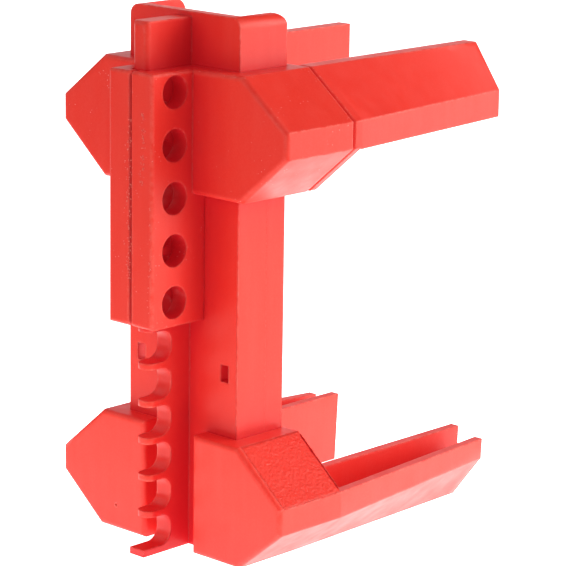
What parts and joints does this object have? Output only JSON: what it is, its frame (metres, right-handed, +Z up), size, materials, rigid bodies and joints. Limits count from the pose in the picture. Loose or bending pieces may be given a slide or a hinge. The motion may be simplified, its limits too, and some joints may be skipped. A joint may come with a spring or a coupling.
{
  "type": "adjustable valve lockout hasp",
  "caption": "Moulded valve lockout: a hasp housing with two arms slides on a toothed column with two lower arms and is locked by a padlock through a hasp hole and a rack notch.",
  "frame": {"origin": "on the mid-plane, on the column's bottom face, in the middle of its front wall", "axes": "+X to the right seen from the hasp's front, +Y back along the arms, +Z up along the column"},
  "size_m": [0.0816, 0.1056, 0.1421],
  "materials": {
    "column_plastic": "satin moulded polypropylene",
    "housing_plastic": "satin moulded polypropylene",
    "arm_plastic": "satin moulded polypropylene",
    "cap_plastic": "grained moulded polypropylene"
  },
  "bodies": {
    "lower_body": {"column": "column_plastic", "lower_arm_left": "arm_plastic", "lower_arm_right": "arm_plastic", "lower_block_cap_left": "cap_plastic", "lower_block_cap_right": "cap_plastic"},
    "upper_body": {"upper_housing_left": "housing_plastic", "upper_housing_right": "housing_plastic", "upper_arm_left": "arm_plastic", "upper_arm_right": "arm_plastic"}
  },
  "joints": [
    {"name": "hasp_slide", "type": "slide", "parent": "lower_body", "child": "upper_body", "axis": [0, 0, 1], "range_m": [-0.06, 0.013]}
  ]
}
